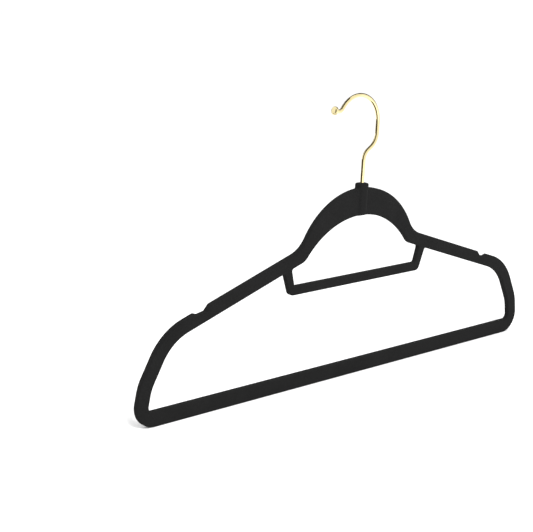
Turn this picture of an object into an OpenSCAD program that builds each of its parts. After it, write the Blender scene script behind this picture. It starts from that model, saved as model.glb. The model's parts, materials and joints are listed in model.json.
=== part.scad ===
// A slim flocked clothes hanger with a swivel wire hook.
// Drawn with the swivel axis on x = 0 and the trouser bar's underside on z = 0.
// The last step moves the model so that the origin is where the hook rests on a rail.

/* [Frame] */
// Overall width, flock included
frame_w = 445; // [440:1:450]
// Thickness of the flat frame, flock included
frame_t = 5; // [4.5:0.1:6]
// Thickness of the flock on every face
flock_t = 0.4; // [0.3:0.05:0.5]
// Height of the trouser bar
bar_h = 12.4; // [10:0.2:15]
// Slope of the shoulders, in degrees
shoulder_slope = 18.1; // [16:0.1:20]
// Height at which the two shoulder lines would meet
shoulder_peak = 136.9; // [130:0.5:142]
// Width of the band along the shoulders
shoulder_band = 10.8; // [9:0.1:12]
// Slope of the upper part of each end, in degrees
upper_end_slope = 62; // [60:1:66]
// Width of the band along the upper part of each end
upper_end_band = 11.2; // [10:0.1:12]
// Slope of the lower part of each end, in degrees
lower_end_slope = 80; // [76:1:84]
// Width of the band along the lower part of each end
lower_end_band = 11; // [9:0.1:12]
// Radius of each bottom corner
bottom_corner_r = 17; // [10:1:18]

/* [Arch] */
// Height of the top of the arch
arch_top = 159; // [155:0.5:162]
// Radius of the arch's outer edge
arch_outer_r = 69.5; // [66:0.5:72]
// Height of the arch's inner edge
arch_inner_top = 136.5; // [135:0.5:138]
// Radius of the arch's inner edge
arch_inner_r = 75; // [73:0.5:77]

/* [Tie bar] */
// Height of the tie bar's underside
tie_bottom = 79.5; // [78:0.5:81]
// Height of the tie bar's top
tie_top = 87; // [86:0.5:89]
// Half the width of the tie bar outside, at its underside
tie_outer_x = 75.5; // [74:0.5:78]
// Half the width of the tie bar inside, at its top
tie_inner_x = 71.2; // [69:0.2:72]

/* [Strap notches] */
// Distance from the middle to the start of a notch
notch_x = 156.5; // [150:0.5:162]
// Depth of a notch
notch_depth = 3.4; // [2.5:0.1:4]
// Width of a notch
notch_w = 15; // [12:0.5:18]

/* [Neck] */
// Height of the top of the neck
neck_top = 163; // [162:0.5:166]
// Width of the neck, flock included
neck_w = 9.6; // [9:0.1:12]
// Thickness of the neck, flock included
neck_t = 7.2; // [7:0.1:9]

/* [Hook] */
// Diameter of the hook's wire
wire_d = 3.2; // [3:0.1:3.4]
// Radius of the bow, at the middle of the wire
bow_r = 22.8; // [22.4:0.2:24]
// How far the bow's centre is to the left of the swivel axis
bow_offset = 9.2; // [7:0.2:9.4]
// Overall height of the hanger
hanger_h = 236; // [232:0.5:242]
// Diameter of the cap on the hook's tip
cap_d = 6.8; // [6.6:0.1:7.6]
// Thickness of the cap on the hook's tip
cap_t = 2.2; // [2:0.1:3.2]

/* [Swivel] */
// Clearance round the wire in the bush
bush_clearance = 0.05; // [0.03:0.01:0.08]
// Wall of the bush
bush_wall = 0.45; // [0.4:0.05:0.5]
// Length of the bush
bush_l = 14; // [10:1:15]

/* [Hidden] */
// How far a rounded corner's short sides may lie from its true arc, and their largest angle.
arc_error = 0.03;
largest_step = 15;
$fn = 64;
wire_r = wire_d / 2;

// The frame's outline is made of these straight lines, each [point, angle].
half_w = frame_w / 2;
bottom_line = [[0, 0], 0];
shoulder_line = [[0, shoulder_peak], -shoulder_slope];
shoulder_end_inset = 22.8;
shoulder_end_x = half_w - shoulder_end_inset;
shoulder_end = [shoulder_end_x, on_shoulder(shoulder_end_x)];
upper_end_line = [shoulder_end, -upper_end_slope];
end_foot_x = half_w - bottom_corner_r + bottom_corner_r / tan(lower_end_slope / 2);
lower_end_line = [[end_foot_x, 0], -lower_end_slope];
leg_outer_slope = 71;
leg_inner_slope = 75.5;
leg_outer_line = [[tie_outer_x, tie_bottom], leg_outer_slope];
leg_inner_line = [[tie_inner_x, tie_top], leg_inner_slope];
arch_outer_angle = 60;
arch_inner_angle = 50;
arch_outer_peak = [0, arch_top - arch_outer_r + arch_outer_r / cos(arch_outer_angle)];
arch_inner_peak = [0, arch_inner_top - arch_inner_r + arch_inner_r / cos(arch_inner_angle)];

// The same lines on the inner side of the bands.
bar_inside = beside(bottom_line, -bar_h);
shoulder_inside = beside(shoulder_line, shoulder_band);
upper_end_inside = beside(upper_end_line, upper_end_band);
lower_end_inside = beside(lower_end_line, lower_end_band);

// Rounding radii, in the order in which the outlines pass them.
end_knuckle_r = 40;
shoulder_end_r = 50;
arch_foot_r = 25;
inner_corner_r = 4;
arch_inside_foot_r = 12;
leg_r = 2;
tie_corner_r = 5;

// The swivel, from the top of the neck down.
core_neck_top = neck_top - flock_t;
bush_r = wire_r + bush_clearance + bush_wall;
bush_bottom = core_neck_top - bush_l;
flock_gap = 0.3;
chamber_r = bush_r + 0.3;
washer_r = chamber_r - 0.15;
washer_t = 0.8;
washer_top = bush_bottom - 0.1;
head_r = 1.95;
head_t = 1.2;
shank_bottom = washer_top - washer_t;

// The hook, from the neck up: two bends of the neck's crook, the bow and the curl.
bow_centre = [-bow_offset, hanger_h - bow_r - wire_r];
crook_angle = 57;
crook_low_r = 9.3;
crook_high_r = 13.7;
bow_right_x = bow_centre[0] + bow_r;
crook_to_bow = 8.6;
crook_top = bow_centre[1] - crook_to_bow;
crook_high_x = bow_right_x - crook_high_r * (1 - cos(crook_angle));
crook_high_z = crook_top - crook_high_r * sin(crook_angle);
crook_low_x = crook_low_r * (1 - cos(crook_angle));
crook_slant = (crook_high_x - crook_low_x) / sin(crook_angle);
shank_top = crook_high_z - crook_slant * cos(crook_angle) - crook_low_r * sin(crook_angle);
bow_sweep = 146;
curl_r = 4;
tip_rise = 10;
tip_tilt = tip_rise - 90;
curl_centre = bow_centre + (bow_r + curl_r) * heading(bow_sweep);
curl_start_angle = bow_sweep + 180;
curl_end_angle = 270 - tip_rise;
curl_end = curl_centre + curl_r * heading(curl_end_angle);
tip_straight = 4.4;
tip_in_cap = 1.4;
joint_gap = 0.15;
joint_r = wire_r + 0.03;
cap_dome_r = 7;

// The rail rests on the inside of the bow, at its highest point.
rail_saddle = [bow_centre[0], bow_centre[1] + bow_r - wire_r];

// Height of the shoulder line at a distance from the middle.
function on_shoulder(x) = shoulder_peak - tan(shoulder_slope) * x;

function cross_2d(a, b) = a[0] * b[1] - a[1] * b[0];
function unit(v) = v / norm(v);
function heading(angle) = [cos(angle), sin(angle)];

// The line moved to its right by a distance.
function beside(line, distance) =
    [line[0] + distance * heading(line[1] - 90), line[1]];

// Where two lines cross.
function crossing(a, b) =
    let (da = heading(a[1]), db = heading(b[1]))
    a[0] + da * cross_2d(b[0] - a[0], db) / cross_2d(da, db);

// A corner to be rounded: a point and a radius.
function corner(point, r) = [point[0], point[1], r];

// The points of the arc that rounds the corner p between its neighbours a and b.
function corner_arc(a, p, b, r) =
    let (
        u = unit(a - p),
        v = unit(b - p),
        half = acos(u * v) / 2,
        centre = p + unit(u + v) * r / sin(half),
        start = p + u * r / tan(half) - centre,
        turn = (180 - 2 * half) * (cross_2d(u, v) < 0 ? 1 : -1),
        steps = ceil(abs(turn) / min(largest_step, 2 * acos(1 - arc_error / r)))
    )
    [for (k = [0:steps])
        let (t = turn * k / steps)
        centre + [start[0] * cos(t) - start[1] * sin(t), start[0] * sin(t) + start[1] * cos(t)]];

function flat_point(c) = [c[0], c[1]];

// A closed outline with each corner rounded by its own radius.
function rounded(corners) =
    let (n = len(corners))
    [for (i = [0:n - 1])
        let (
            a = flat_point(corners[(i + n - 1) % n]),
            p = flat_point(corners[i]),
            b = flat_point(corners[(i + 1) % n])
        )
        each (corners[i][2] > 0 ? corner_arc(a, p, b, corners[i][2]) : [p])];

// The right half of an outline, a corner on the middle line, and the left half.
function both_sides(right, middle) =
    concat(
        right,
        middle,
        [for (i = [len(right) - 1:-1:0]) [-right[i][0], right[i][1], right[i][2]]]);

// An anticlockwise outline moved inwards by a distance, or outwards if negative.
function inset(points, distance) =
    let (n = len(points))
    [for (i = [0:n - 1])
        let (
            d1 = unit(points[i] - points[(i + n - 1) % n]),
            d2 = unit(points[(i + 1) % n] - points[i]),
            n1 = [-d1[1], d1[0]],
            n2 = [-d2[1], d2[0]]
        )
        points[i] + (n1 + n2) * distance / (1 + n1 * n2)];

// A corner of the notch: a distance along the shoulder and a depth below it.
function notch_corner(along, depth, r) =
    let (x = notch_x + along * notch_w)
    [x, on_shoulder(x) - depth * notch_depth, r];

frame_outline = rounded(both_sides(
    [
        corner([end_foot_x, 0], bottom_corner_r),
        corner(crossing(lower_end_line, upper_end_line), end_knuckle_r),
        corner(shoulder_end, shoulder_end_r),
        notch_corner(1, 0, 2),
        notch_corner(0.73, 0.75, 2),
        notch_corner(0.27, 1, 1.5),
        notch_corner(0, 0, 1.2),
        corner(crossing(shoulder_line, [arch_outer_peak, -arch_outer_angle]), arch_foot_r)
    ],
    [corner(arch_outer_peak, arch_outer_r)]));

main_opening = rounded(both_sides(
    [
        corner(crossing(bar_inside, lower_end_inside), inner_corner_r),
        corner(crossing(lower_end_inside, upper_end_inside), end_knuckle_r - lower_end_band),
        corner(crossing(upper_end_inside, shoulder_inside), shoulder_end_r - shoulder_band),
        corner(crossing(shoulder_inside, leg_outer_line), leg_r),
        corner([tie_outer_x, tie_bottom], tie_corner_r)
    ],
    []));

tie_opening = rounded(both_sides(
    [
        corner([tie_inner_x, tie_top], leg_r),
        corner(crossing(leg_inner_line, shoulder_inside), leg_r),
        corner(crossing(shoulder_inside, [arch_inner_peak, -arch_inner_angle]), arch_inside_foot_r)
    ],
    [corner(arch_inner_peak, arch_inner_r)]));

// Moves a piece from the drawing's zero to the rail saddle's.
module to_saddle() {
    translate([-rail_saddle[0], 0, -rail_saddle[1]])
        children();
}

// Stands a flat outline up in the plane of the hanger, centred on it.
module upright(thickness) {
    translate([0, thickness / 2, 0])
        rotate([90, 0, 0])
            linear_extrude(height = thickness)
                children();
}

// The frame and its neck, made smaller all over by an amount.
module frame_solid(less) {
    upright(frame_t - 2 * less)
        difference() {
            polygon(inset(frame_outline, less));
            polygon(inset(main_opening, -less));
            polygon(inset(tie_opening, -less));
        }
    neck_x = neck_w / 2;
    neck_y = neck_t / 2;
    neck_corner_r = 2.4;
    neck_outline = rounded([
        [neck_x, -neck_y, neck_corner_r],
        [neck_x, neck_y, neck_corner_r],
        [-neck_x, neck_y, neck_corner_r],
        [-neck_x, -neck_y, neck_corner_r]]);
    translate([0, 0, arch_inner_top + less])
        linear_extrude(height = neck_top - arch_inner_top - 2 * less)
            polygon(inset(neck_outline, less));
}

// The open chamber under the bush, where the hook's washer and head turn.
module chamber() {
    translate([0, 0, arch_inner_top - 1])
        cylinder(h = bush_bottom - arch_inner_top + 1, r = chamber_r);
}

// A bend of the hook's wire about a centre in the plane of the hanger, a little short of
// its two angles.
module wire_bend(centre, radius, low_angle, high_angle) {
    trim = joint_gap / radius * 180 / PI;
    translate([centre[0], 0, centre[1]])
        rotate([90, 0, 0])
            rotate([0, 0, low_angle + trim])
                rotate_extrude(angle = high_angle - low_angle - 2 * trim)
                    translate([radius, 0])
                        circle(r = wire_r);
}

// A straight stretch of the hook's wire, at an angle from upright towards +X, a little
// short at both ends.
module wire_straight(start, length, angle) {
    translate([start[0], 0, start[1]])
        rotate([0, angle, 0])
            translate([0, 0, joint_gap])
                cylinder(h = length - 2 * joint_gap, r = wire_r);
}

// The ball that joins two stretches of the wire.
module wire_joint(point) {
    translate([point[0], 0, point[1]])
        sphere(r = joint_r);
}

// The moulded frame: shoulders, trouser bar, tie bar, arch and neck in one shot.
module frame_core() {
    color([0.09, 0.09, 0.1])
        to_saddle()
            difference() {
                frame_solid(flock_t);
                chamber();
                translate([0, 0, bush_bottom - 1])
                    cylinder(h = bush_l + 2, r = bush_r);
            }
}

// The flock that covers the frame, with a hole for the shank at each end of the neck.
module flock_coat() {
    color([0.16, 0.16, 0.17])
        to_saddle()
            difference() {
                frame_solid(0);
                frame_solid(flock_t);
                chamber();
                translate([0, 0, core_neck_top - 1])
                    cylinder(h = 2, r = wire_r + flock_gap);
            }
}

// The brass bush that the shank turns in.
module swivel_bush() {
    color([0.78, 0.62, 0.3])
        to_saddle()
            translate([0, 0, bush_bottom])
                difference() {
                    cylinder(h = bush_l, r = bush_r);
                    translate([0, 0, -1])
                        cylinder(h = bush_l + 2, r = wire_r + bush_clearance);
                }
}

// The hook: shank with its riveted head, crook, bow and the curl before the tip.
module hook_wire() {
    shank_start = shank_bottom - head_t / 2;
    crook_low = [crook_low_x, shank_top + crook_low_r * sin(crook_angle)];
    color([0.85, 0.72, 0.42])
        to_saddle() {
            translate([0, 0, shank_bottom - head_t])
                cylinder(h = head_t, r = head_r);
            wire_straight([0, shank_start], shank_top - shank_start, 0);
            wire_joint([0, shank_top]);
            wire_bend([crook_low_r, shank_top], crook_low_r, 180 - crook_angle, 180);
            wire_joint(crook_low);
            wire_straight(crook_low, crook_slant, crook_angle);
            wire_joint([crook_high_x, crook_high_z]);
            wire_bend([bow_right_x - crook_high_r, crook_top], crook_high_r, -crook_angle, 0);
            wire_joint([bow_right_x, crook_top]);
            wire_straight([bow_right_x, crook_top], bow_centre[1] - crook_top, 0);
            wire_joint([bow_right_x, bow_centre[1]]);
            wire_bend(bow_centre, bow_r, 0, bow_sweep);
            wire_joint(bow_centre + bow_r * heading(bow_sweep));
            wire_bend(curl_centre, curl_r, curl_end_angle, curl_start_angle);
            wire_joint(curl_end);
            wire_straight(curl_end, tip_straight, tip_tilt);
        }
}

// The washer on the shank, riveted against the underside of the bush.
module retaining_washer() {
    color([0.7, 0.7, 0.72])
        to_saddle()
            translate([0, 0, shank_bottom])
                difference() {
                    cylinder(h = washer_t, r = washer_r);
                    translate([0, 0, -1])
                        cylinder(h = washer_t + 2, r = wire_r);
                }
}

// The domed cap on the end of the hook.
module hook_tip_cap() {
    color([0.85, 0.72, 0.42])
        to_saddle()
            translate([curl_end[0], 0, curl_end[1]])
                rotate([0, tip_tilt, 0])
                    translate([0, 0, tip_straight - tip_in_cap])
                        difference() {
                            intersection() {
                                cylinder(h = cap_t, r = cap_d / 2);
                                translate([0, 0, cap_t - cap_dome_r])
                                    sphere(r = cap_dome_r);
                            }
                            translate([0, 0, -1])
                                cylinder(h = tip_in_cap + 1, r = wire_r);
                        }
}

frame_core();
flock_coat();
swivel_bush();
hook_wire();
retaining_washer();
hook_tip_cap();
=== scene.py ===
import json
from cmath import rect
from math import acos, ceil, copysign, cos, pi, radians, sin, sqrt, tan

import bpy
import numpy as np
from mathutils import Matrix, Vector
from mathutils.geometry import delaunay_2d_cdt
from mathutils.kdtree import KDTree
from mathutils.noise import noise


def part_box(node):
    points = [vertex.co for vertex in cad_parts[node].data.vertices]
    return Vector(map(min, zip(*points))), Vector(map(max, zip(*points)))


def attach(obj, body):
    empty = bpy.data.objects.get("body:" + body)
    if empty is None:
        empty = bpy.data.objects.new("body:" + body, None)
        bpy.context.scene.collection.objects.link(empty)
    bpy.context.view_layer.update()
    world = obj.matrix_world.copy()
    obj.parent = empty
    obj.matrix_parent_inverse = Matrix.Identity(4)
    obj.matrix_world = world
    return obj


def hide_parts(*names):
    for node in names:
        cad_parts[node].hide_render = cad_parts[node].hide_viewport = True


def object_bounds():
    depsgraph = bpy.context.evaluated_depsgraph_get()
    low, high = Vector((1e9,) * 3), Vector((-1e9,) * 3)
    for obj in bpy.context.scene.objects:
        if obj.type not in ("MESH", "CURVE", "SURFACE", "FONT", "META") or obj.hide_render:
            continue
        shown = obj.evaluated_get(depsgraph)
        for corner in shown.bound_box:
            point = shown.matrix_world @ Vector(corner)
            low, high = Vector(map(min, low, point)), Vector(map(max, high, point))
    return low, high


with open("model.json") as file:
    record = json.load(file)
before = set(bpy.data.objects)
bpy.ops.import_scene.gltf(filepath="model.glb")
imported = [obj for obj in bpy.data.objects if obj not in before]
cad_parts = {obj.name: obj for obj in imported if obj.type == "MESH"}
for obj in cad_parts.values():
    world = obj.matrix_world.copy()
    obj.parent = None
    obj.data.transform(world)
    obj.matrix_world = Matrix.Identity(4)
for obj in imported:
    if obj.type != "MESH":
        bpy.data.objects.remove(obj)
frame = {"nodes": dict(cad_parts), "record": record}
cad_low, cad_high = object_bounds()

# --- The moulded frame ---
# One shot of black polypropylene: shoulders, trouser bar, tie bar, arch and neck. It is the
# stiff core under the flock, and its bare plastic shows only inside the neck's chamber.

MM = 0.001
swivel_x = frame["record"]["behaviour"]["joints"][0]["pos_m"][0]
coat_low, coat_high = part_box("flock_coat")
half_w = (coat_high.x - coat_low.x) / 2 / MM
frame_t = 5
flock_t = 0.4
edge_r = 1.0
bar_h = 12.4
shoulder_peak, shoulder_slope, shoulder_band = 136.9, 18.1, 10.8
shoulder_end_inset, shoulder_end_r = 22.8, 50
upper_end_slope, upper_end_band = 62, 11.2
lower_end_slope, lower_end_band = 80, 11
end_knuckle_r, bottom_corner_r, inner_corner_r = 40, 17, 4
tie_bottom, tie_outer_x, leg_outer_slope = 79.5, 75.5, 71
tie_top, tie_inner_x, leg_inner_slope = 87, 71.2, 75.5
tie_corner_r, leg_r = 5, 2
arch_top, arch_outer_r, arch_outer_angle, arch_foot_r = 159, 69.5, 60, 25
arch_inner_top, arch_inner_r, arch_inner_angle, arch_inside_foot_r = 136.5, 75, 50, 12
neck_top = (coat_high.z - coat_low.z) / MM
neck_half_w = 4.8
neck_t = 7.2
neck_edge_r = 2.4
neck_foot_r = 1.4
neck_corner_r = 1.5
notch_start, notch_w, notch_depth = 156.5, 15, 3.4


def way(degrees):
    """The direction at that angle from +X, on the drawing of the frame's front."""
    return rect(1, radians(degrees))


def side_of(a, b):
    """Above 0 if direction b points to the left of a."""
    return (a.conjugate() * b).imag


def crossing(a, b):
    """Where two lines cross, each given as (point, direction)."""
    (p, u), (q, v) = a, b
    return p + u * side_of(q - p, v) / side_of(u, v)


def beside(line, distance):
    """The line moved to its right."""
    point, direction = line
    return point - 1j * direction * distance, direction


# The frame's outline is made of these straight lines, in millimetres from the foot of the
# swivel axis: x to the right and the imaginary part up.
bottom_line = (0j, way(0))
shoulder_line = (shoulder_peak * 1j, way(-shoulder_slope))
shoulder_end = crossing(shoulder_line, (half_w - shoulder_end_inset + 0j, 1j))
upper_end_line = (shoulder_end, way(-upper_end_slope))
end_foot = half_w - bottom_corner_r + bottom_corner_r / tan(radians(lower_end_slope) / 2) + 0j
lower_end_line = (end_foot, way(-lower_end_slope))
shoulder_inside = beside(shoulder_line, shoulder_band)
upper_end_inside = beside(upper_end_line, upper_end_band)
lower_end_inside = beside(lower_end_line, lower_end_band)
bar_inside = beside(bottom_line, -bar_h)
leg_outside = (tie_outer_x + tie_bottom * 1j, way(leg_outer_slope))
leg_inside = (tie_inner_x + tie_top * 1j, way(leg_inner_slope))


def arch_side(top, radius, angle):
    """The line that leaves the arch's round top at that angle below level."""
    return (top - radius + radius / cos(radians(angle))) * 1j, way(-angle)


arch_outer_side = arch_side(arch_top, arch_outer_r, arch_outer_angle)
arch_inner_side = arch_side(arch_inner_top, arch_inner_r, arch_inner_angle)


def notch_corner(along, depth, radius):
    """A corner of the strap notch: a share of its width and a share of its depth."""
    x = notch_start + along * notch_w
    return crossing(shoulder_line, (x + 0j, 1j)) - depth * notch_depth * 1j, radius


def arch_crown():
    """The arch's outer edge from its side up to the neck, as points on its circle that keep
    clear of the rounded corners at both ends."""
    centre = (arch_top - arch_outer_r) * 1j
    count, clear_of_side, clear_of_neck = 48, 2, 2.2
    first = radians(90 - arch_outer_angle + clear_of_side)
    last = acos((neck_half_w + clear_of_neck) / arch_outer_r)
    angles = [first + (last - first) * k / count for k in range(count + 1)]
    return [(centre + rect(arch_outer_r, angle), 0) for angle in angles]


def both_sides(right, middle=()):
    """The right half of an outline, what lies on the middle, and the left half."""
    return right + list(middle) + [(-p.conjugate(), r) for p, r in reversed(right)]


neck_side_z = arch_top - arch_outer_r + sqrt(arch_outer_r**2 - neck_half_w**2)
frame_edges = [
    both_sides([
        (end_foot, bottom_corner_r),
        (crossing(lower_end_line, upper_end_line), end_knuckle_r),
        (shoulder_end, shoulder_end_r),
        notch_corner(1, 0, 2),
        notch_corner(0.73, 0.75, 2),
        notch_corner(0.27, 1, 1.5),
        notch_corner(0, 0, 1.2),
        (crossing(shoulder_line, arch_outer_side), arch_foot_r),
        *arch_crown(),
        (neck_half_w + neck_side_z * 1j, neck_foot_r),
        (neck_half_w + neck_top * 1j, neck_corner_r),
    ]),
    both_sides([
        (crossing(bar_inside, lower_end_inside), inner_corner_r),
        (crossing(lower_end_inside, upper_end_inside), end_knuckle_r - lower_end_band),
        (crossing(upper_end_inside, shoulder_inside), shoulder_end_r - shoulder_band),
        (crossing(shoulder_inside, leg_outside), leg_r),
        (leg_outside[0], tie_corner_r),
    ])[::-1],
    both_sides([
        (leg_inside[0], leg_r),
        (crossing(leg_inside, shoulder_inside), leg_r),
        (crossing(shoulder_inside, arch_inner_side), arch_inside_foot_r),
    ], [(arch_inner_side[0], arch_inner_r)])[::-1],
]


def rounded(corners, step):
    """The closed outline with every corner rounded, as points at most a step apart."""
    largest_turn = radians(12)
    outline = []
    for (a, _), (p, r), (b, _) in zip(corners[-1:] + corners, corners, corners[1:] + corners[:1]):
        u, v = (a - p) / abs(a - p), (b - p) / abs(b - p)
        half = acos((u.conjugate() * v).real) / 2
        if r == 0:
            outline.append(p)
            continue
        centre = p + (u + v) / abs(u + v) * r / sin(half)
        spoke = p + u * r / tan(half) - centre
        turn = copysign(pi - 2 * half, -side_of(u, v))
        count = ceil(max(abs(turn) * r / step, abs(turn) / largest_turn))
        outline += [centre + spoke * rect(1, turn * k / count) for k in range(count + 1)]
    points = []
    for a, b in zip(outline, outline[1:] + outline[:1]):
        count = ceil(abs(b - a) / step)
        points += [a + (b - a) * k / count for k in range(count)]
    return np.array(points)


def inwards(loop):
    """At each point of an outline, the step that moves both its sides 1 mm into the frame."""
    before, after = loop - np.roll(loop, 1), np.roll(loop, -1) - loop
    n1, n2 = 1j * before / abs(before), 1j * after / abs(after)
    return (n1 + n2) / (1 + (n1.conjugate() * n2).real)


def nearest_edge(points, rim, normals, loop_of):
    """How far inside the frame's edge each point lies."""
    tree = KDTree(len(rim))
    for i, p in enumerate(rim):
        tree.insert((p.real, p.imag, 0), i)
    tree.balance()
    near = np.array([tree.find((p.real, p.imag, 0))[1] for p in points])
    distance = np.full(len(points), np.inf)
    for neighbour in loop_of:
        a, b = rim[near], rim[neighbour[near]]
        along = np.clip(((points - a) / (b - a)).real, 0, 1)
        distance = np.minimum(distance, abs(points - a - along * (b - a)))
    inside = ((points - rim[near]).conjugate() * normals[near]).real > 0
    return np.where(inside, distance, -distance)


def smooth_step(low, high, value):
    share = np.clip((value - low) / (high - low), 0, 1)
    return share * share * (3 - 2 * share)


def half_thickness(points, less):
    """Half the frame's thickness. The neck is a thick bar with rounded edges that runs down
    the arch round the hook's chamber, and the flock softens the corner at its foot."""
    from_middle, height = abs(points.real), points.imag
    round_part = np.clip(from_middle - neck_half_w + neck_edge_r, 0, neck_edge_r)
    bar = neck_t / 2 - neck_edge_r + np.sqrt(neck_edge_r**2 - round_part**2)
    corner = 0.9
    step = bar - frame_t / 2
    over = np.clip(0.5 + 0.5 * step / corner, 0, 1)
    rib = over * step + corner * over * (1 - over)
    head = smooth_step(arch_top - 2.5, arch_top + 1, height)
    head = head * (1 - smooth_step(neck_half_w, neck_half_w + 2, from_middle))
    rib = rib + head * ((neck_t - frame_t) / 2 - rib)
    rib = rib * (height > (tie_top + arch_inner_top) / 2)
    return frame_t / 2 + rib - less


def frame_surface(less, step, rings, unevenness=0.0):
    """Vertices and triangles of the frame's closed surface, less inside the flock's outside.
    Both faces are flat sheets that roll over at their edges into the side wall."""
    neck_columns = np.array([0.6, 1.8, 2.7, 3.3, 3.8, 4.2, 4.6, 5.0, 5.4, 6.0])
    beside_neck = 6.5
    near_enough, clear_of_roll = 0.97, 0.4
    loops = [rounded(corners, step) for corners in frame_edges]
    loops = [loop + inwards(loop) * less for loop in loops]
    rim, normals = np.concatenate(loops), np.concatenate([inwards(loop) for loop in loops])
    starts = np.cumsum([0] + [len(loop) for loop in loops])
    after = np.concatenate([np.roll(np.arange(a, b), -1) for a, b in zip(starts, starts[1:])])
    before = np.argsort(after)
    radius = edge_r - less
    roll = radius * (1 - np.cos(np.linspace(0, pi / 2, rings + 1)[1:]))
    inner = [(rim + normals * d, np.full(len(rim), d * near_enough)) for d in roll]
    columns, rows = np.arange(-half_w, half_w, step * 1.5), np.arange(0, neck_top, step * 1.3)
    field = np.concatenate([columns + (row % 2) * step * 0.75 + z * 1j for row, z in enumerate(rows)])
    rows = np.arange(arch_inner_top, neck_top, step)
    columns = np.concatenate([-neck_columns[::-1], neck_columns])
    foot = (columns[None, :] + 1j * rows[:, None]).ravel()
    field = field[(abs(field.real) > beside_neck) | (field.imag < arch_inner_top)]
    inner.append((foot, np.full(len(foot), radius + clear_of_roll)))
    inner.append((field, np.full(len(field), radius + 0.5 * step)))
    points, least = (np.concatenate(part) for part in zip(*inner))
    points = points[nearest_edge(points, rim, normals, (before, after)) >= least]
    points = np.concatenate([rim, points])
    sides = [(int(i), int(after[i])) for i in range(len(rim))]
    flat, _, triangles, *_ = delaunay_2d_cdt(
        [Vector((p.real, p.imag)) for p in points], sides, [], 0, 1e-6)
    points = np.array([complex(*v) for v in flat])
    triangles = np.array(triangles)
    depth = nearest_edge(points, rim, normals, (before, after))
    middles = nearest_edge(points[triangles].mean(axis=1), rim, normals, (before, after))
    triangles = triangles[middles > 0]
    depth = radius - np.clip(depth, 0, radius)
    half = half_thickness(points, less) - radius + np.sqrt(radius**2 - depth**2)
    if unevenness:
        grain_size = 7
        spots = points / grain_size
        grain = np.array([noise(Vector((p.real, p.imag, 0))) for p in spots])
        half = half + unevenness * grain * (1 - depth / radius)
    edges = np.concatenate([triangles[:, [0, 1]], triangles[:, [1, 2]], triangles[:, [2, 0]]])
    inner_edges = {(int(a), int(b)) for a, b in edges}
    wall = np.array([(b, a) for a, b in inner_edges if (b, a) not in inner_edges])
    n = len(points)
    wall = np.concatenate([
        np.column_stack([wall[:, 0], wall[:, 1], wall[:, 1] + n]),
        np.column_stack([wall[:, 0], wall[:, 1] + n, wall[:, 0] + n])])
    front = np.column_stack([points.real, -half, points.imag])
    vertices = np.concatenate([front, front * (1, -1, 1)]) * MM
    vertices += (swivel_x, 0, coat_low.z)
    return vertices, np.concatenate([triangles, triangles[:, ::-1] + n, wall])


def piece(name, vertices, faces):
    mesh = bpy.data.meshes.new(name)
    mesh.from_pydata(list(map(tuple, vertices)), [], [tuple(map(int, f)) for f in faces])
    mesh.validate()
    made = bpy.data.objects.new(name, mesh)
    bpy.context.scene.collection.objects.link(made)
    return made


def turned_part(name, profile, place=Matrix.Identity(4), segments=48):
    """A solid of revolution about its own Z axis, from (radius, height) pairs that start and
    end on the axis, the lower end first."""
    vertices, rings = [], []
    for radius, height in profile:
        count = segments if radius > 0 else 1
        rings.append([len(vertices) + k % count for k in range(segments)])
        vertices += [rect(radius, 2 * pi * k / segments) for k in range(count)]
        vertices[-count:] = [place @ Vector((v.real, v.imag, height)) for v in vertices[-count:]]
    faces = []
    for low, high in zip(rings, rings[1:]):
        for k in range(segments):
            face = [low[k], low[k - segments + 1], high[k - segments + 1], high[k]]
            faces.append(list(dict.fromkeys(face)))
    return piece(name, vertices, [f for f in faces if len(f) > 2])


def settled(made):
    """Turns the piece's modifiers into plain mesh."""
    evaluated = made.evaluated_get(bpy.context.evaluated_depsgraph_get())
    mesh = bpy.data.meshes.new_from_object(evaluated)
    made.modifiers.clear()
    made.data = mesh
    return made


def bored(made, profile):
    """Cuts a hole of that profile along the swivel axis, in (radius, height) pairs."""
    drill = turned_part("drill", profile, Matrix.Translation((swivel_x, 0, 0)))
    cut = made.modifiers.new("bore", "BOOLEAN")
    cut.operation, cut.solver, cut.object = "DIFFERENCE", "EXACT", drill
    settled(made)
    bpy.data.objects.remove(drill)
    made.data.shade_smooth()
    made.data.set_sharp_from_angle(angle=radians(50))
    return made


def linear(colour):
    """An sRGB hex colour as the linear values that shaders take."""
    parts = [int(colour[i:i + 2], 16) / 255 for i in (1, 3, 5)]
    return [p / 12.92 if p <= 0.04045 else ((p + 0.055) / 1.055) ** 2.4 for p in parts] + [1]


def add(tree, kind, inputs=None, **settings):
    """Adds a node: settings are its own properties, and inputs are values or sockets by name."""
    node = tree.nodes.new(kind)
    for name, value in settings.items():
        setattr(node, name, value)
    for name, value in (inputs or {}).items():
        socket = node.inputs[name]
        if isinstance(value, bpy.types.NodeSocket):
            tree.links.new(value, socket)
        else:
            socket.default_value = value
    return node


def new_finish(name):
    """A material with an empty node tree, its surface output and the piece's own coordinates."""
    finish = bpy.data.materials.new(name)
    finish.use_nodes = True
    finish.node_tree.nodes.clear()
    output = add(finish.node_tree, "ShaderNodeOutputMaterial")
    spot = add(finish.node_tree, "ShaderNodeTexCoord").outputs["Object"]
    return finish, finish.node_tree, output.inputs["Surface"], spot


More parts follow.
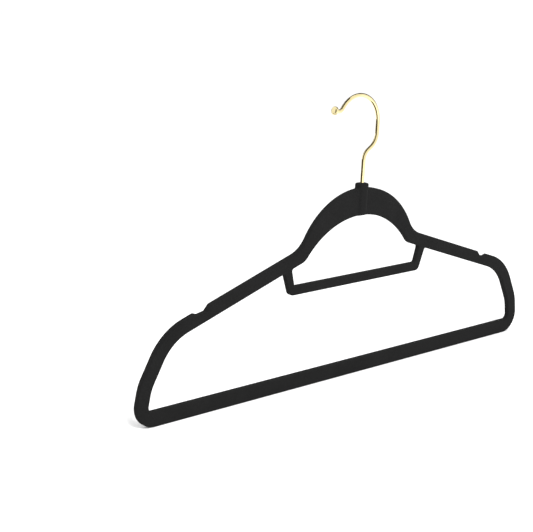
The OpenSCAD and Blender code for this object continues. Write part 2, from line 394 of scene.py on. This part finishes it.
def moulded_plastic():
    """Moulded black polypropylene: a dull satin with the fine spark-eroded grain of the mould,
    about 0.3 mm, which keeps its highlights soft."""
    finish, tree, surface, spot = new_finish("moulded black polypropylene")
    grain = add(tree, "ShaderNodeTexNoise", {"Vector": spot, "Scale": 1 / (0.3 * MM), "Detail": 2})
    bump = add(tree, "ShaderNodeBump", {
        "Height": grain.outputs["Fac"], "Strength": 0.25, "Distance": 0.03 * MM})
    shader = add(tree, "ShaderNodeBsdfPrincipled", {
        "Base Color": linear("#1c1c1d"), "Roughness": 0.45, "IOR": 1.49,
        "Normal": bump.outputs["Normal"]})
    tree.links.new(shader.outputs["BSDF"], surface)
    return finish


bush_low, bush_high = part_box("swivel_bush")
bush_r = (bush_high.x - bush_low.x) / 2
chamber_r = bush_r + 0.3 * MM
below_chamber = coat_low.z + (arch_inner_top - 2) * MM
above_neck = coat_high.z + 1 * MM

plastic_frame = bored(
    piece("plastic_frame", *frame_surface(flock_t + 0.02, 2.2, 4)),
    [(0, below_chamber), (chamber_r, below_chamber), (chamber_r, bush_low.z),
     (bush_r, bush_low.z), (bush_r, above_neck), (0, above_neck)])
plastic_frame.data.materials.append(moulded_plastic())
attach(plastic_frame, "frame")
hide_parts("frame_core")

# --- The flock coat ---
# Charcoal nylon fibres half a millimetre long, shot upright into wet glue all over the frame.
# The coat rounds every edge, and it stops at the hole for the hook and at the chamber.


def nylon_flock():
    """Nylon flock, matt charcoal: fibre ends scatter the light, so faces look flat and soft
    and edges that turn away are a little lighter. Pressed and brushed patches differ a shade."""
    finish, tree, surface, spot = new_finish("charcoal nylon flock")
    # Tufts of fibres are about 0.3 mm wide, drawn 0.9 mm wide so that they show.
    tufts = add(tree, "ShaderNodeTexNoise", {
        "Vector": spot, "Scale": 1 / (0.9 * MM), "Detail": 3, "Roughness": 0.65})
    # Patches where the pile leans another way, 25 mm across.
    lean = add(tree, "ShaderNodeTexNoise", {
        "Vector": spot, "Scale": 1 / (25 * MM), "Detail": 3, "Distortion": 0.6})
    tuft_colour = add(tree, "ShaderNodeValToRGB", {"Fac": tufts.outputs["Fac"]})
    tuft_colour.color_ramp.elements[0].position = 0.3
    tuft_colour.color_ramp.elements[0].color = linear("#151515")
    tuft_colour.color_ramp.elements[1].position = 0.72
    tuft_colour.color_ramp.elements[1].color = linear("#1c1c1c")
    lean_shade = add(tree, "ShaderNodeMapRange", {
        "Value": lean.outputs["Fac"], "From Min": 0.3, "From Max": 0.7, "To Min": 0.92, "To Max": 1.1})
    colour = add(tree, "ShaderNodeVectorMath", {
        0: tuft_colour.outputs["Color"], "Scale": lean_shade.outputs["Result"]}, operation="SCALE")
    bump = add(tree, "ShaderNodeBump", {
        "Height": tufts.outputs["Fac"], "Strength": 0.5, "Distance": 0.12 * MM})
    shader = add(tree, "ShaderNodeBsdfPrincipled", {
        "Base Color": colour.outputs["Vector"], "Roughness": 0.95, "IOR": 1.5,
        "Specular IOR Level": 0.05, "Sheen Weight": 0.03, "Sheen Roughness": 0.5,
        "Sheen Tint": linear("#d8d8d8"), "Normal": bump.outputs["Normal"]})
    tree.links.new(shader.outputs["BSDF"], surface)
    return finish


outside, outside_faces = frame_surface(0, 1.15, 8, unevenness=0.05)
inside, inside_faces = frame_surface(flock_t, 2.2, 4)
flock_hole_r = 1.9 * MM
velvet_coat = bored(
    piece("velvet_coat", np.concatenate([outside, inside]),
          np.concatenate([outside_faces, inside_faces[:, ::-1] + len(outside)])),
    [(0, below_chamber), (chamber_r, below_chamber), (chamber_r, bush_low.z),
     (flock_hole_r, bush_low.z), (flock_hole_r, above_neck), (0, above_neck)])
velvet_coat.data.materials.append(nylon_flock())
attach(velvet_coat, "frame")
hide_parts("flock_coat")

# --- The swivel bush ---
# A thin turned brass sleeve pressed into the neck, which the hook's shank turns in. Only its
# rim shows, down in the hole at the top of the neck.


def turned_brass():
    """Turned brass: warm yellow, with fine rings 0.15 mm apart left by the tool."""
    finish, tree, surface, spot = new_finish("turned brass")
    rings = add(tree, "ShaderNodeTexWave", {
        "Vector": spot, "Scale": 1 / (0.15 * MM * 2 * pi), "Distortion": 0.4},
        bands_direction="Z")
    bump = add(tree, "ShaderNodeBump", {
        "Height": rings.outputs["Fac"], "Strength": 0.2, "Distance": 0.01 * MM})
    shader = add(tree, "ShaderNodeBsdfPrincipled", {
        "Base Color": linear("#c9a558"), "Metallic": 1, "Roughness": 0.3,
        "Normal": bump.outputs["Normal"]})
    tree.links.new(shader.outputs["BSDF"], surface)
    return finish


bush = frame["nodes"]["swivel_bush"]
bush.data.materials.clear()
bush.data.materials.append(turned_brass())

# --- The hook ---
# Steel wire 3.2 mm thick, bent into a crook, a bow for the rail and a small curl before the
# tip, then plated light gold. Its lower end is riveted over under the washer.

wire_r = 1.6 * MM
bow_r = 22.8 * MM
crook_turn = 57
crook_low_r = 9.3 * MM
crook_high_r = 13.7 * MM
crook_to_bow = 8.6 * MM
bow_turn = 146
curl_r = 4 * MM
tip_heading = 170
tip_l = 4.4 * MM
bow_centre_z = wire_r - bow_r


def hook_path():
    """The wire's middle line from the riveted head to the tip, with its radius at each point.
    The head is peened: it swells out below the washer and closes in a flat dome."""
    foot_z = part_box("hook_wire")[0].z
    slant = (bow_r - swivel_x - (crook_low_r + crook_high_r) * (1 - cos(radians(crook_turn))))
    slant /= sin(radians(crook_turn))
    rise = (crook_low_r + crook_high_r) * sin(radians(crook_turn))
    shank_l = bow_centre_z - crook_to_bow - rise - slant * cos(radians(crook_turn)) - foot_z
    head = [(0, 0.95), (0.08, 1.25), (0.25, 1.6), (0.5, 1.86), (0.75, 1.95), (1.0, 1.93), (1.17, 1.8),
            (1.2, 1.6)]
    spine = [(complex(swivel_x, foot_z + up * MM), r * MM) for up, r in head]
    spot, heading = complex(swivel_x, foot_z), 90
    curl_turn = bow_turn + 90 - tip_heading
    for length, radius, turn in [
            (shank_l, 0, 0), (0, crook_low_r, -crook_turn), (slant, 0, 0),
            (0, crook_high_r, crook_turn), (crook_to_bow, 0, 0), (0, bow_r, bow_turn),
            (0, curl_r, -curl_turn), (tip_l, 0, 0)]:
        if turn == 0:
            spot += rect(length, radians(heading))
            spine.append((spot, wire_r))
            continue
        centre = spot + rect(radius, radians(heading + copysign(90, turn)))
        spoke, count = spot - centre, ceil(abs(turn) / 4)
        spine += [(centre + spoke * way(turn * k / count), wire_r) for k in range(1, count + 1)]
        spot, heading = spine[-1][0], heading + turn
    return spine, spot, heading


def swept_wire_nodes(finish):
    """Geometry Nodes that sweep a round section along a line of points, each with its own
    share of the wire's radius, and close both ends."""
    tree = bpy.data.node_groups.new("swept wire", "GeometryNodeTree")
    tree.interface.new_socket("Line", in_out="INPUT", socket_type="NodeSocketGeometry")
    tree.interface.new_socket("Wire Radius", in_out="INPUT", socket_type="NodeSocketFloat")
    tree.interface.new_socket("Sides", in_out="INPUT", socket_type="NodeSocketInt")
    tree.interface.new_socket("Wire", in_out="OUTPUT", socket_type="NodeSocketGeometry")
    given = add(tree, "NodeGroupInput").outputs
    share = add(tree, "GeometryNodeInputNamedAttribute", {"Name": "share"}, data_type="FLOAT")
    line = add(tree, "GeometryNodeMeshToCurve", {"Mesh": given["Line"]})
    sized = add(tree, "GeometryNodeSetCurveRadius", {
        "Curve": line.outputs["Curve"], "Radius": share.outputs["Attribute"]})
    section = add(tree, "GeometryNodeCurvePrimitiveCircle", {
        "Resolution": given["Sides"], "Radius": given["Wire Radius"]})
    tube = add(tree, "GeometryNodeCurveToMesh", {
        "Curve": sized.outputs["Curve"], "Profile Curve": section.outputs["Curve"],
        "Fill Caps": True})
    if "Scale" in tube.inputs:
        tree.links.new(share.outputs["Attribute"], tube.inputs["Scale"])
    soft = add(tree, "GeometryNodeSetShadeSmooth", {"Geometry": tube.outputs["Mesh"]})
    real = add(tree, "GeometryNodeRealizeInstances", {"Geometry": soft.outputs["Geometry"]})
    done = add(tree, "GeometryNodeSetMaterial", {
        "Geometry": real.outputs["Geometry"], "Material": finish})
    add(tree, "NodeGroupOutput", {"Wire": done.outputs["Geometry"]})
    return tree


def polished_gold_plate():
    """Light gold plating on polished wire: pale yellow with crisp reflections. Faint wipe
    marks 4 mm across and drawing lines 0.2 mm apart break the reflections a little."""
    finish, tree, surface, spot = new_finish("polished light gold plate")
    wipes = add(tree, "ShaderNodeTexNoise", {"Vector": spot, "Scale": 1 / (4 * MM), "Detail": 4})
    rough = add(tree, "ShaderNodeMapRange", {
        "Value": wipes.outputs["Fac"], "From Min": 0.3, "From Max": 0.7, "To Min": 0.08, "To Max": 0.16})
    tone = add(tree, "ShaderNodeValToRGB", {"Fac": wipes.outputs["Fac"]})
    tone.color_ramp.elements[0].color = linear("#ead9a0")
    tone.color_ramp.elements[1].color = linear("#f3e6b6")
    lines = add(tree, "ShaderNodeTexNoise", {"Vector": spot, "Scale": 1 / (0.2 * MM), "Detail": 1})
    bump = add(tree, "ShaderNodeBump", {
        "Height": lines.outputs["Fac"], "Strength": 0.05, "Distance": 0.01 * MM})
    shader = add(tree, "ShaderNodeBsdfPrincipled", {
        "Base Color": tone.outputs["Color"], "Metallic": 1, "Roughness": rough.outputs["Result"],
        "Normal": bump.outputs["Normal"]})
    tree.links.new(shader.outputs["BSDF"], surface)
    return finish


gold = polished_gold_plate()
spine, tip, tip_way = hook_path()
hook = piece("gold_hook_wire", [(p.real, 0, p.imag) for p, _ in spine], [])
hook.data.edges.add(len(spine) - 1)
hook.data.edges.foreach_set("vertices", [i for k in range(len(spine) - 1) for i in (k, k + 1)])
share = hook.data.attributes.new("share", "FLOAT", "POINT")
share.data.foreach_set("value", [r / wire_r for _, r in spine])
sweep = hook.modifiers.new("sweep", "NODES")
sweep.node_group = swept_wire_nodes(gold)
for socket in sweep.node_group.interface.items_tree:
    if socket.name == "Wire Radius":
        sweep[socket.identifier] = wire_r
    if socket.name == "Sides":
        sweep[socket.identifier] = 40
settled(hook)
hook.data.set_sharp_from_angle(angle=radians(50))
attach(hook, "hook")
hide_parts("hook_wire")

# --- The retaining washer ---
# A stamped steel washer on the shank under the bush, held by the riveted head, so that the
# hook turns but can't be pulled out of the neck.


def stamped_steel():
    """Stamped steel, tumbled: grey and half dull, with fine random scratches 0.2 mm apart."""
    finish, tree, surface, spot = new_finish("stamped steel")
    scratches = add(tree, "ShaderNodeTexNoise", {"Vector": spot, "Scale": 1 / (0.2 * MM), "Detail": 3})
    rough = add(tree, "ShaderNodeMapRange", {
        "Value": scratches.outputs["Fac"], "To Min": 0.3, "To Max": 0.5})
    shader = add(tree, "ShaderNodeBsdfPrincipled", {
        "Base Color": linear("#b4b4b6"), "Metallic": 1, "Roughness": rough.outputs["Result"]})
    tree.links.new(shader.outputs["BSDF"], surface)
    return finish


washer = frame["nodes"]["retaining_washer"]
washer.data.materials.clear()
washer.data.materials.append(stamped_steel())

# --- The tip cap ---
# A turned and plated button 6.8 mm across, pressed on the wire's end so that it can't snag
# clothes. Its face is a low dome with a rounded rim, and a short collar grips the wire.

cap_r = 3.4 * MM
cap_t = 2.2 * MM
cap_dome_r = 12 * MM
cap_rim_r = 0.45 * MM
cap_collar_r = 2.3 * MM
cap_collar_t = 0.35 * MM
wire_in_cap = 1.4 * MM


def dome_height(radius):
    return cap_t - cap_dome_r + sqrt(cap_dome_r**2 - radius**2)


def cap_rim(height, degrees):
    """Points round the cap's rounded rim, from a centre at that height."""
    centre = complex(cap_r - cap_rim_r, height)
    return [centre + rect(cap_rim_r, radians(a)) for a in degrees]


def cap_profile():
    """(radius, height) from the back face to the middle of the dome."""
    profile = [0j, cap_collar_r - 0.15 * MM + 0j, complex(cap_collar_r, 0.12 * MM),
               complex(cap_collar_r + 0.05 * MM, cap_collar_t)]
    profile += cap_rim(cap_collar_t + cap_rim_r, range(-90, 1, 15))
    profile += cap_rim(dome_height(cap_r) + 0.12 * MM - cap_rim_r * 0.4, range(0, 50, 12))
    dome_edge = cap_r - cap_rim_r * 0.55
    radii = [dome_edge * (1 - k / 8) for k in range(1, 8)]
    profile += [complex(radius, dome_height(radius)) for radius in radii]
    return [(p.real, p.imag) for p in profile] + [(0, cap_t)]


cap_foot = tip - rect(wire_in_cap, radians(tip_way))
axis = Vector((cos(radians(tip_way)), 0, sin(radians(tip_way))))
cap_turn = axis.to_track_quat("Z", "Y").to_matrix().to_4x4()
cap_place = Matrix.Translation((cap_foot.real, 0, cap_foot.imag)) @ cap_turn
cap = turned_part("gold_tip_cap", cap_profile(), cap_place, segments=64)
cap.data.shade_smooth()
cap.data.set_sharp_from_angle(angle=radians(40))
cap.data.materials.append(gold)
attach(cap, "hook")
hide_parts("hook_tip_cap")

# --- The studio ---
# A white floor under a white sky of soft light, with a lamp high on the left. Dark cards that
# only reflections see stand round the hook and draw the polished wire's dark edges.

floor_half = 4
floor_corners = [(-1, -1), (1, -1), (1, 1), (-1, 1)]
floor = piece(
    "studio_floor", [(x * floor_half, y * floor_half, cad_low.z) for x, y in floor_corners],
    [(0, 1, 2, 3)])
white, white_tree, white_surface, _ = new_finish("white studio floor")
white_paint = add(white_tree, "ShaderNodeBsdfDiffuse", {"Color": linear("#f6f6f6")})
white_tree.links.new(white_paint.outputs["BSDF"], white_surface)
floor.data.materials.append(white)

world = bpy.data.worlds.new("white studio")
world.use_nodes = True
sky = world.node_tree.nodes["Background"]
sky.inputs["Color"].default_value = linear("#ffffff")
sky.inputs["Strength"].default_value = 1.1
bpy.context.scene.world = world

view_azimuth, view_elevation, view_roll = -42.6, 14.71, 2.83
view_distance = 1.057
left_of_foot, above_foot = 0.0696, 0.09
turn, tilt, roll = (radians(a) for a in (view_azimuth, view_elevation, view_roll))
back = Vector((sin(turn) * cos(tilt), -cos(turn) * cos(tilt), sin(tilt)))
level = Vector((cos(turn), sin(turn), 0))
upright = back.cross(level)
right = level * cos(roll) + upright * sin(roll)
up = upright * cos(roll) - level * sin(roll)

camera = bpy.data.objects.new("camera", bpy.data.cameras.new("camera"))
camera.data.lens = 84.69
camera.data.sensor_width = 36
camera.data.clip_start, camera.data.clip_end = 0.01, 100
foot = Vector((swivel_x, 0, cad_low.z))
camera.matrix_world = Matrix.LocRotScale(
    foot + back * view_distance - right * left_of_foot + up * above_foot,
    Matrix((right, up, back)).transposed(), None)
bpy.context.scene.collection.objects.link(camera)
bpy.context.scene.camera = camera


dark_card, card_tree, card_surface, _ = new_finish("dark card")
card_paint = add(card_tree, "ShaderNodeBsdfDiffuse", {"Color": linear("#38332a")})
card_tree.links.new(card_paint.outputs["BSDF"], card_surface)


def card(name, corners):
    """A dark card that only reflections see."""
    made = piece(name, corners, [(0, 1, 2, 3)])
    made.data.materials.append(dark_card)
    made.visible_camera = made.visible_diffuse = made.visible_shadow = False


# Three cards make an open box on the hook's left: its bottom, its left wall and a slanted
# lid. A low strip and a tall one stand behind.
on_floor = cad_low.z + 0.004
box_left, box_near, box_far, box_top = -0.58, -0.48, 0.33, 0.22
card("low_card", [
    (0.04, -0.12, on_floor), (0.04, 0.08, on_floor),
    (box_left, box_far, on_floor), (box_left, box_near, on_floor)])
card("left_card", [
    (box_left, box_near, on_floor), (box_left, box_far, on_floor),
    (box_left, box_far, box_top), (box_left, box_near, box_top)])
card("low_rear_card", [
    (box_left, box_far, on_floor), (-0.15, 0.85, on_floor),
    (-0.15, 0.85, -0.10), (box_left, box_far, -0.10)])
card("high_card", [
    (0.08, -0.40, 0.75), (0.08, box_far, 0.75),
    (box_left, box_far, box_top), (box_left, box_near, box_top)])
card("rear_card", [
    (1.2, -0.35, 0.04), (-0.35, 1.1, 0.04), (-0.35, 1.1, 1.35), (1.2, -0.35, 1.35)])

middle = (cad_low + cad_high) / 2
to_lamp = Vector((-0.35, -0.75, 0.8))
lamp = bpy.data.objects.new("high_left_lamp", bpy.data.lights.new("high_left_lamp", "AREA"))
lamp.data.shape = "DISK"
lamp.data.size = 0.5
lamp.data.energy = 13.5
lamp.matrix_world = Matrix.LocRotScale(middle + to_lamp, to_lamp.to_track_quat("Z", "Y"), None)
lamp.visible_glossy = False
bpy.context.scene.collection.objects.link(lamp)

bpy.context.scene.view_settings.view_transform = "Standard"
